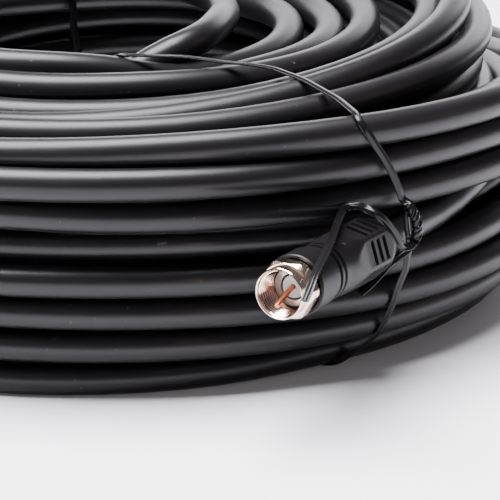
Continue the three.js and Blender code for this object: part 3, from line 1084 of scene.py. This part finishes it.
@dataclass
class Winding:
    """The whole cable as one path wound round the coil, in millimetres.

    Each turn has a place in the coil's section. The places at the front are those of the visible
    turns, and the rest fill the section behind them. The cable runs through the places in order and
    moves from one to the next at the back. Then its turns are pushed apart until none lies in
    another. Azimuths are in degrees, and the cable runs from the back end to the front one.
    """

    cable_diameter: float = SIZES.cable_diameter
    stations: int = 72
    section_azimuth: float = 20.0
    grid_size: int = 9
    grid_radius: float = 43.0
    row_pitch: float = 6.2
    side_pitch: float = 7.0
    nearest_hidden: float = 0.8
    outer_wall: Curve = ((3.4, 11, 19, 26, 32, 40, 47, 54), (88, 94.5, 97, 99, 97, 100, 101, 99))
    bore_wall: Curve = ((3.4, 20, 56), (48, 43.5, 43))
    top: Curve = ((43, 52, 59, 65, 70, 77, 85, 92, 101), (53, 53, 55, 50, 53, 54, 53.5, 49, 54))
    wall_margin: float = 0.1
    top_margin: float = 3.0
    first_column: float = 39.4
    column_width: float = 6.6
    split_height: float = 31.0
    start_azimuth: float = PLACE.back_angle - PLACE.rear_azimuth
    end_azimuth: float = PLACE.rear_azimuth
    hold_from: float = 100.0
    hold_to: float = -35.0
    move_from: float = 325.0
    seen_from: float = -22.0
    seen_to: float = 97.0
    shown_pull: float = 0.5
    side_pull: float = 0.06
    hidden_pull: float = 0.02
    straight_to: float = 48.0
    tail_end: float = 62.0
    tail_place: tuple[float, float] = (93.5, 35.0)
    wander: float = 1.3
    wander_stations: int = 14
    rounds: int = 260
    seed: int = 7
    widest: float = 103.5
    narrowest: float = 26.0
    tie_lift: float = 0.9
    lift_reach: float = 10.0
    shoulder_from: float = 62.0
    shoulder_radius: float = 83.0
    shoulder: Curve = ((62, 95, 110, 130, 150, 170), (58, 46, 38, 38, 46, 60))
    summit: float = 70.0
    spread: float = 1.01
    quick_rounds: int = 60

    def _envelope(self, r: float, z: float) -> bool:
        """Whether a hidden turn may have a place in the section.

        Args:
            r: The place's radius.
            z: Its height.

        Returns:
            True for a place between the two walls and under the top.
        """
        inner, outer = np.interp(z, *self.bore_wall), np.interp(z, *self.outer_wall)
        in_walls = inner - self.wall_margin < r < outer - self.wall_margin
        return in_walls and z < np.interp(r, *self.top) - self.top_margin

    def _places(self) -> list[tuple[np.ndarray, FrontTurn | None]]:
        """The places of the turns in the section, front turns first.

        Returns:
            Each place's radius and height, with its front turn where it has one.
        """
        places = [(turn.at(self.section_azimuth), turn) for turn in FRONT_TURNS]
        taken = [place for place, _ in places]
        for row in range(self.grid_size):
            height = self.cable_diameter / 2 + row * self.row_pitch
            start = self.grid_radius + (row % 2) * self.cable_diameter / 2
            for column in range(self.grid_size):
                spot = np.array([start + column * self.side_pitch, height])
                near = min(np.hypot(*(spot - other)) for other in taken)
                if self._envelope(*spot) and near > self.nearest_hidden * self.cable_diameter:
                    places.append((spot, None))
        return places

    def _order(self) -> list[tuple[np.ndarray, FrontTurn | None]]:
        """The places in the cable's order: up and down the columns, in along the floor, out on top.

        Returns:
            The same pairs, in that order.
        """
        places = self._places()
        columns: dict[tuple[int, int], list] = {}
        for spot, turn in places:
            half = 0 if spot[1] < self.split_height else 1
            column = int((spot[0] - self.first_column) // self.column_width)
            columns.setdefault((half, column), []).append((spot, turn))
        order = []
        for half, sign, first_down in ((0, -1, True), (1, 1, False)):
            numbers = sorted((c for h, c in columns if h == half), key=lambda c: sign * c)
            for step, number in enumerate(numbers):
                down = first_down == (step % 2 == 0)
                order += sorted(columns[half, number], key=lambda item: -item[0][1] if down else item[0][1])
        return order

    def _tail(self, azimuth: float) -> np.ndarray:
        """The cable's tail: straight from the boot, then into the coil.

        Args:
            azimuth: Where, in degrees and as at the front end.

        Returns:
            Its radius and height there.
        """
        rear, out = PLACE.rear(), PLACE.axes()[2]
        a = math.radians(min(azimuth, self.straight_to))
        ray = Vector((math.sin(a), -math.cos(a)))
        reach = -(rear[0] * ray[1] - rear[1] * ray[0]) / (out[0] * ray[1] - out[1] * ray[0])
        straight = np.array([(rear.xy + reach * out.xy).length, rear.z + reach * out.z])
        hidden = min(1.0, max(0.0, (azimuth - self.straight_to) / (self.tail_end - self.straight_to)))
        return straight + (np.array(self.tail_place) - straight) * hidden

    def path(self) -> np.ndarray:
        """Winds the cable and pushes its turns apart.

        Returns:
            The radius, height and azimuth of every station.
        """
        order = self._order()
        count = len(order)
        step = 360 / self.stations
        total = self.start_azimuth - self.end_azimuth + 360 * count
        azimuth = self.start_azimuth - step * np.arange(int(total / step) + 2)
        n = len(azimuth)
        target, pull = np.zeros((n, 2)), np.full(n, self.hidden_pull)

        def place(turn: int, local: float) -> np.ndarray:
            """Where a turn belongs at an azimuth of its own.

            Args:
                turn: The turn's number in the cable's order.
                local: The azimuth in degrees.

            Returns:
                The radius and height.
            """
            if not 0 <= turn < count:
                return self._tail(self.tail_end)
            spot, front = order[turn]
            return spot if front is None else front.at(local)

        for i, angle in enumerate(azimuth):
            turn = math.floor((180 - angle) / 360)
            local = angle + 360 * turn
            if self.hold_to <= local <= self.hold_from:
                target[i] = place(turn, local)
                shows = local < self.shoulder_from or target[i][0] < self.shoulder_radius
                if self.seen_from <= local <= self.seen_to:
                    in_front = 0 <= turn < count and order[turn][1] and shows
                    pull[i] = self.shown_pull if in_front else self.side_pull
                continue
            after = turn if local > 0 else turn + 1
            share = (self.move_from - local % 360) / (self.move_from - self.hold_from)
            share = min(1.0, max(0.0, share))
            share = share * share * (3 - 2 * share)
            target[i] = (1 - share) * place(after - 1, self.hold_to) + share * place(after, self.hold_from)
        fixed = np.zeros(n, bool)
        for i, angle in enumerate(azimuth):
            from_end = (angle + 360 * count) if i > n / 2 else PLACE.back_angle - angle
            if from_end <= self.tail_end:
                fixed[i] = True
                target[i] = self._tail(from_end)
        rng = np.random.default_rng(self.seed)
        freedom = np.where(pull == self.shown_pull, 0, np.where(pull == self.side_pull, 0.6, 1)) * ~fixed
        for c in range(2):
            bends = rng.normal(0, self.wander, n // self.wander_stations + 3)
            drift = np.interp(np.arange(n), np.arange(len(bends)) * self.wander_stations, bends)
            target[:, c] += drift * freedom
        spots = self._relaxed(target, pull, fixed, azimuth)
        return np.column_stack([spots, azimuth])

    def _lowest(self, spots: np.ndarray, azimuth: np.ndarray) -> np.ndarray:
        """The lowest heights of the cable's middle, on the floor or on a tie that runs under it.

        Args:
            spots: The radius and height of every station.
            azimuth: The azimuth of every station.

        Returns:
            A height for every station.
        """
        lift = np.zeros(len(spots))
        for end, course in COURSES.items():
            at_end = azimuth if end is End.FRONT else PLACE.back_angle - azimuth
            off = (at_end - np.interp(spots[:, 0], *course.under) + 180) % 360 - 180
            lift += self.tie_lift * np.exp(-(np.radians(off) * spots[:, 0] / self.lift_reach) ** 2)
        return self.cable_diameter / 2 + lift + FLOOR_HEIGHT

    def _highest(self, radius: np.ndarray, azimuth: np.ndarray) -> np.ndarray:
        """The greatest heights of the cable's middle: the outer turns slope down at the right.

        Args:
            radius: The radius of every station.
            azimuth: The azimuth of every station.

        Returns:
            A height for every station.
        """
        outer = np.interp(azimuth % 360, *self.shoulder)
        share = np.clip((radius - self.shoulder_radius) / self.cable_diameter, 0, 1)
        return self.summit + (outer - self.summit) * share

    def _relaxed(
        self, target: np.ndarray, pull: np.ndarray, fixed: np.ndarray, azimuth: np.ndarray,
    ) -> np.ndarray:
        """Pushes the stations apart at each azimuth, and keeps the cable smooth along its length.

        Args:
            target: The radius and height where each station belongs.
            pull: How strongly it is drawn there.
            fixed: Which stations don't move.
            azimuth: The azimuth of every station.

        Returns:
            The radius and height of every station.
        """
        n = len(target)
        rows = math.ceil(n / self.stations)
        spare = rows * self.stations - n
        far = 1e4 + 100 * np.arange(spare)
        padding = np.column_stack([far, far])
        own = np.arange(rows)
        spots = target.copy()
        apart = self.spread * self.cable_diameter
        rounds = self.rounds
        rest = self._lowest(target, azimuth)
        for number in range(rounds):
            ease = 1.0 if number < 0.8 * rounds else 0.5
            spots += ease * pull[:, None] * (target - spots)
            for _ in range(2):
                spots[1:-1] += 0.25 * (spots[:-2] + spots[2:] - 2 * spots[1:-1])
            for _ in range(3):
                grid = np.vstack([spots, padding]).reshape(rows, self.stations, 2).transpose(1, 0, 2)
                apart_by = grid[:, :, None, :] - grid[:, None, :, :]
                distance = np.sqrt((apart_by ** 2).sum(-1)) + 1e-9
                distance[:, own, own] = 1e3
                push = np.clip(apart - distance, 0, None) * 0.4
                moved = (apart_by * (push / distance)[..., None]).sum(2)
                moved /= np.maximum(1, (push > 0).sum(2) * 0.5)[..., None]
                spots = (grid + moved).transpose(1, 0, 2).reshape(-1, 2)[:n]
                spots[:, 1] = np.clip(spots[:, 1], rest, self._highest(spots[:, 0], azimuth))
                spots[:, 0] = np.clip(spots[:, 0], self.narrowest, self.widest)
                spots[fixed] = target[fixed]
        for _ in range(3):
            smooth = (spots[:-2] + 2 * spots[1:-1] + spots[2:]) / 4
            spots[1:-1] = np.where(fixed[1:-1, None], spots[1:-1], smooth)
        return spots


@dataclass
class Cable:
    """The coiled cable as one tube, from inside one boot to inside the other.

    Attributes:
        winding: How it is wound.
        length: Its real length in metres.
        sides: The number of sides of the tube.
        end_gap: The gap between its end and the post's sleeve, in millimetres.
    """

    winding: Winding
    length: float = 30.0
    sides: int = 14
    end_gap: float = 0.4

    def __post_init__(self) -> None:
        """Winds the cable once, for the tube and for the ties."""
        self.wound = self.winding.path()

    def centreline(self) -> np.ndarray:
        """The cable's middle line in the row frame.

        Returns:
            The points, in metres.
        """
        wound = self.wound[2:-2]
        a = np.radians(wound[:, 2])
        points = np.column_stack([wound[:, 0] * np.sin(a), -wound[:, 0] * np.cos(a), wound[:, 1]])
        deepest = SIZES.boot_length - SIZES.sleeve_in_boot - self.end_gap
        inside = [by_boot(along, 0, 0) for along in (0.0, 5.0, 11.0, deepest)]
        back = [End.BACK.turned(point) for point in reversed(inside)]
        points = np.vstack([np.array(back), points, np.array(inside)])
        return points * MM + np.array(CENTRE)

    def build(self, carried: Sequence[bpy.types.Object]) -> bpy.types.Object:
        """Args:
            carried: Not used.

        Returns:
            The tube.
        """
        line = self.centreline()
        radius = self.winding.cable_diameter / 2 * MM
        piece = SweptPath("coaxial_cable", line, regular(radius, self.sides), Finish.JACKET).build()
        sharpen(piece.data, 60)
        dressed(piece, Finish.JACKET, "coil", "cable_coil", "cable_tail_front", "cable_tail_back")
        2 * radius
        return piece


# The twist ties


@dataclass(frozen=True)
class TieCourse:
    """Where a tie crosses the coil: azimuths at given radii or heights, as at the front end.

    Each curve is two rows, the radii or heights and the azimuths there.
    """

    over_top: Curve
    up_bore: Curve
    under: Curve
    down_outside: Curve = (
        (4, 7, 10, 16, 20, 24, 28, 33, 38, 40.5, 45, 48.5, 52, 56.6),
        (35, 36.6, 37.1, 37.5, 37.6, 38.1, 37.7, 37.3, 37.2, 36.6, 35.6, 34.6, 33.3, 31.8),
    )
    top_height: float = 56.5
    floor_height: float = 2.5
    bore_side: float = 70.0

    def azimuth(self, radius: float, height: float) -> float:
        """The tie's azimuth at a place in the coil's section.

        Args:
            radius: The place's radius.
            height: Its height.

        Returns:
            The azimuth in degrees.
        """
        if height > self.top_height:
            return float(np.interp(radius, *self.over_top))
        if height < self.floor_height:
            return float(np.interp(radius, *self.under))
        side = self.down_outside if radius > self.bore_side else self.up_bore
        return float(np.interp(height, *side))


COURSES = {
    End.FRONT: TieCourse(
        ((40, 47, 50, 51, 52.5, 56, 60.5, 63.5, 68.5, 79, 91.5, 103.5),
         (4.5, 5.5, 7.7, 13, 18.8, 23.3, 27, 30.5, 33, 33.8, 33.3, 31.8)),
        ((3, 56), (3, 4.5)),
        ((44, 91), (3, 34)),
    ),
    End.BACK: TieCourse(
        ((40, 70, 103.5), (34.6, 33.5, 31.8)),
        ((3, 25, 37, 45, 56), (41, 40, 37.2, 35, 34.6)),
        ((44, 91), (40, 34)),
    ),
}


@dataclass(frozen=True)
class TieSizes:
    """A twist tie's ribbon and knot, in millimetres: two thin edges with a round wire between them."""

    width: float = 1.8
    edge: float = 0.3
    wire: float = 0.76
    slack: float = 0.1
    floor_gap: float = 0.05
    spacing: float = 0.5
    pigtail: tuple[Point, ...] = (
        (64.6, -84.9, 38.3), (65.7, -85.3, 36.4), (66.4, -85.4, 34.0), (66.2, -85.5, 31.8),
    )
    pigtail_radius: float = 0.8
    pigtail_turns: float = 1.3
    pigtail_phase: float = 0.6
    crossing_height: float = 37.6
    long_tail: tuple[Point, ...] = (
        (-6.3, 5.9, -0.2), (-4.6, 5.6, -1.0), (-2.6, 5.2, -0.9), (-0.8, 5.0, 0.2), (1.2, 4.6, 2.6),
        (3.0, 3.9, 5.0), (4.6, 2.6, 7.0), (5.0, 0.4, 8.1), (4.4, -2.0, 8.3), (4.9, -3.6, 8.1),
        (7.4, -4.0, 7.9), (14.4, -1.6, 7.7), (25.4, 2.7, 7.4), (32.0, 4.6, 6.2),
        (38.8, 6.1, 4.2), (42.8, 7.0, 2.3), (45.4, 7.3, 0.7),
    )
    short_tail: tuple[Point, ...] = (
        (-6.4, 4.6, -1.8), (-4.9, 4.1, -2.6), (-2.1, 2.2, -4.6),
        (0.6, 1.3, -6.3), (3.2, 0.4, -8.0), (5.7, -0.6, -9.3),
    )


def tie_section(sizes: TieSizes) -> np.ndarray:
    """The ribbon's outline: x is away from the bundle, and y is across it.

    Args:
        sizes: The tie's sizes.

    Returns:
        The corners, in metres.
    """
    half, edge, wire = sizes.width / 2, sizes.edge / 2, sizes.wire / 2
    quarter = [(edge, half - 0.08), (edge, wire * 1.15), (wire * 0.78, wire * 0.62), (wire, 0.0)]
    right = [(0.0, half)] + quarter + [(x, -y) for x, y in reversed(quarter[:-1])] + [(0.0, -half)]
    left = [(-x, -y) for x, y in right[1:-1]]
    return np.array(right + left) * MM


def outer_hull(points: np.ndarray) -> np.ndarray:
    """The outside of a set of points in a plane.

    Args:
        points: The points.

    Returns:
        The corners of their convex outline, anticlockwise.
    """
    ordered = sorted(map(tuple, points))

    def chain(run: Sequence[tuple[float, float]]) -> list[tuple[float, float]]:
        """One side of the outline, which only turns left.

        Args:
            run: The points in their order along that side.

        Returns:
            The corners that are kept, without the last.
        """
        kept: list[tuple[float, float]] = []
        for x, y in run:
            while len(kept) > 1:
                (ax, ay), (bx, by) = kept[-2:]
                if (bx - ax) * (y - ay) - (by - ay) * (x - ax) > 0:
                    break
                kept.pop()
            kept.append((x, y))
        return kept[:-1]

    return np.array(chain(ordered) + chain(ordered[::-1]))


@dataclass
class TwistTie:
    """A wire tie pulled tight round the bundle at one end, with its twisted knot and two tails.

    Attributes:
        end: The end of the cable that it lies at.
        wound: The radius, height and azimuth of the cable's stations.
        sizes: The tie's sizes.
    """

    end: End
    wound: np.ndarray
    sizes: TieSizes = TieSizes()

    def __post_init__(self) -> None:
        """Takes the course of its own end."""
        self.course = COURSES[self.end]

    def _turns_under(self) -> np.ndarray:
        """The turns that the tie crosses.

        Returns:
            The radius and height of each where it is crossed.
        """
        azimuth = self.wound[:, 2] if self.end is End.FRONT else PLACE.back_angle - self.wound[:, 2]
        middle, outwards, reach = 30.0, 4.0, 2.6
        crossed = []
        for (r, z), a in zip(self.wound[:, :2], azimuth):
            course = self.course.azimuth(r, z + math.copysign(outwards, z - middle))
            if abs((a - course + 180) % 360 - 180) < reach:
                crossed.append((r, z))
        return np.array(crossed)

    def _loop(self) -> np.ndarray:
        """The tight loop from the knot over the top and back, with the way out from the bundle.

        Returns:
            Rows of a point and a direction, as at the front end and in millimetres.
        """
        away = SIZES.cable_diameter / 2 + self.sizes.slack + self.sizes.wire / 2
        angles = np.linspace(0, 2 * np.pi, 32, endpoint=False)
        circle = away * np.column_stack([np.cos(angles), np.sin(angles)])
        ring = outer_hull((self._turns_under()[:, None, :] + circle[None]).reshape(-1, 2))
        ring = np.vstack([ring, ring[:1]])
        run = np.concatenate([[0], np.cumsum(np.hypot(*np.diff(ring, axis=0).T))])
        even = np.linspace(0, run[-1], int(run[-1] / 0.4), endpoint=False)
        ring = np.column_stack([np.interp(even, run, ring[:, c]) for c in range(2)])
        ring[:, 1] = np.maximum(ring[:, 1], self.sizes.wire / 2 + self.sizes.floor_gap + FLOOR_HEIGHT)
        outside = np.nonzero(ring[:, 0] > self.course.bore_side)[0]
        start = outside[np.argmin(np.abs(ring[outside, 1] - self.sizes.crossing_height))]
        ring = np.roll(ring, -start, axis=0)
        along = np.roll(ring, -3, axis=0) - np.roll(ring, 3, axis=0)
        along /= np.hypot(*along.T)[:, None]
        rows = []
        for (r, z), (dr, dz) in zip(ring, along):
            a = math.radians(self.course.azimuth(r, z))
            out = Vector((math.sin(a), -math.cos(a), 0.0))
            rows.append([*(out * r + Vector((0, 0, z))), *(out * dz - Vector((0, 0, dr)))])
        rows = np.array(rows)
        for _ in range(6):
            rows[1:-1] = (rows[:-2] + rows[1:-1] + rows[2:]) / 3
        return rows[4:-4:5]

    def _pigtail(self, phase: float) -> np.ndarray:
        """One of the two twisted strands, from the knot's top to its foot.

        Args:
            phase: Its angle round the knot at the top.

        Returns:
            Rows of a point and a direction.
        """
        middle = smooth_path(np.array(self.sizes.pigtail), 0.35)
        rows = []
        for step, (point, along) in enumerate(zip(middle, np.gradient(middle, axis=0))):
            share = step / (len(middle) - 1)
            turn = phase + 2 * math.pi * self.sizes.pigtail_turns * share
            across = Vector(along).cross(Vector((0, 1, 0))).normalized()
            level = Vector(along).normalized().cross(across)
            out = across * math.cos(turn) + level * math.sin(turn)
            rows.append([*(Vector(point) + out * self.sizes.pigtail_radius), *out])
        return np.array(rows)

    def _tail(self, route: Sequence[tuple[float, float, float]], start: np.ndarray) -> np.ndarray:
        """A tail from the knot's foot, its flat side towards the front and up.

        Args:
            route: Its points, measured from the boot's rear end.
            start: The last row of the strand that it goes on from.

        Returns:
            Rows of a point and a direction.
        """
        flat = Vector((-0.25, -0.8, 0.55)).normalized()
        rows = np.array([[*by_boot(*point), *flat] for point in route])
        rows[0, 3:] = 0.5 * (rows[0, 3:] + start[3:])
        return rows

    def build(self) -> bpy.types.Object:
        """Builds the tie as one ribbon.

        Returns:
            The tie.
        """
        phase = self.sizes.pigtail_phase
        first, second = self._pigtail(phase), self._pigtail(phase + math.pi)
        long_tail = self._tail(self.sizes.long_tail, first[-1])
        short_tail = self._tail(self.sizes.short_tail, second[-1])
        rows = np.vstack([long_tail[::-1], first[::-1], self._loop(), second, short_tail])
        rows = smooth_path(rows, self.sizes.spacing)
        points = np.array([to_row(self.end.turned(row[:3])) for row in rows])
        facing = np.array([self.end.turned(row[3:]) for row in rows])
        along = np.gradient(points, axis=0)
        along /= np.linalg.norm(along, axis=1)[:, None]
        facing -= along * (facing * along).sum(1)[:, None]
        facing /= np.linalg.norm(facing, axis=1)[:, None]
        node = f"twist_tie_{self.end.value}"
        piece = SweptPath(f"{node}_dressed", points, tie_section(self.sizes), Finish.TIE, facing).build()
        sharpen(piece.data, 50)
        return dressed(piece, Finish.TIE, "coil", node)


# The view, the floor and the light


@dataclass(frozen=True)
class PhotoView:
    """The photograph's view, from the middle of the coil, in millimetres and degrees."""

    place: Point = (32.555, -722.458, 235.915)
    tilt: float = 18.0
    lens: float = 237.7
    sensor: float = 36.0

    def build(self) -> None:
        """Makes the camera."""
        data = bpy.data.cameras.new("photo_view")
        data.lens, data.sensor_width = self.lens, self.sensor
        data.clip_start, data.clip_end = 0.01, 20
        camera = bpy.data.objects.new("photo_view", data)
        camera.location = to_row(self.place)
        camera.rotation_euler = (math.radians(90 - self.tilt), 0, 0)
        bpy.context.scene.collection.objects.link(camera)
        bpy.context.scene.camera = camera


@dataclass(frozen=True)
class Lamp:
    """A soft rectangular light that shines at the middle of the coil, with its sizes in metres."""

    name: str
    place: Point
    size: tuple[float, float]
    power: float
    colour: Colour = (1.0, 1.0, 1.0)

    def build(self) -> None:
        """Makes the light."""
        data = bpy.data.lights.new(self.name, "AREA")
        data.shape, data.size, data.size_y = "RECTANGLE", *self.size
        data.energy, data.color = self.power, self.colour
        lamp = bpy.data.objects.new(self.name, data)
        lamp.location = self.place
        aim = CENTRE + Vector((0, 0, 0.03)) - lamp.location
        lamp.rotation_euler = aim.to_track_quat("-Z", "Y").to_euler()
        bpy.context.scene.collection.objects.link(lamp)


@dataclass(frozen=True)
class Studio:
    """The pale floor and the soft light, with sizes in metres."""

    floor_size: float = 6.0
    floor_colours: tuple[Colour, Colour] = ((0.75, 0.738, 0.765), (0.78, 0.768, 0.795))
    floor_glow: float = 0.05
    room_colour: tuple[float, ...] = (0.95, 0.9, 0.96, 1.0)
    room_strength: float = 0.13
    lamps: tuple[Lamp, ...] = (
        Lamp("top_softbox", (-0.27, -0.04, 1.03), (0.75, 1.15), 106.0, (0.965, 0.955, 1.0)),
        Lamp("backdrop", (0.0, 1.7, 0.45), (2.6, 0.8), 30.0, (0.97, 0.95, 1.0)),
        Lamp("front_fill", (-0.5, -1.4, 0.9), (1.0, 0.7), 1.2, (1.0, 0.95, 0.97)),
        Lamp("right_fill", (1.3, -0.1, 0.5), (0.6, 0.5), 0.7, (1.0, 0.78, 0.76)),
    )

    def floor(self) -> bpy.types.Object:
        """A pale floor with a faint unevenness.

        Returns:
            The floor.
        """
        half = self.floor_size / 2
        mesh = bpy.data.meshes.new("studio_floor")
        corners = [(-half, -half, 0), (half, -half, 0), (half, half, 0), (-half, half, 0)]
        mesh.from_pydata(corners, [], [(0, 1, 2, 3)])
        shader = Shader("pale_floor")
        shader.set(
            Base_Color=shader.mix(shader.noise(6.0), *self.floor_colours),
            Roughness=0.6,
            Emission_Color=(1.0, 0.98, 1.0, 1.0),
            Emission_Strength=self.floor_glow,
        )
        mesh.materials.append(shader.material)
        floor = mesh_object("studio_floor", mesh)
        return floor

    def build(self) -> None:
        """Makes the floor, the lights and the pale surroundings."""
        self.floor()
        for lamp in self.lamps:
            lamp.build()
        world = bpy.data.worlds.new("pale_room")
        world.use_nodes = True
        background = world.node_tree.nodes["Background"]
        background.inputs["Color"].default_value = self.room_colour
        background.inputs["Strength"].default_value = self.room_strength
        bpy.context.scene.world = world


def main() -> None:
    """Builds the scene in order."""
    PhotoView().build()
    carried = [piece for end in End for piece in Connector(end).build()]
    cable = Cable(Winding())
    cable.build(carried)
    for end in End:
        TwistTie(end, cable.wound).build()
    Studio().build()


if __name__ == "__main__":
    main()
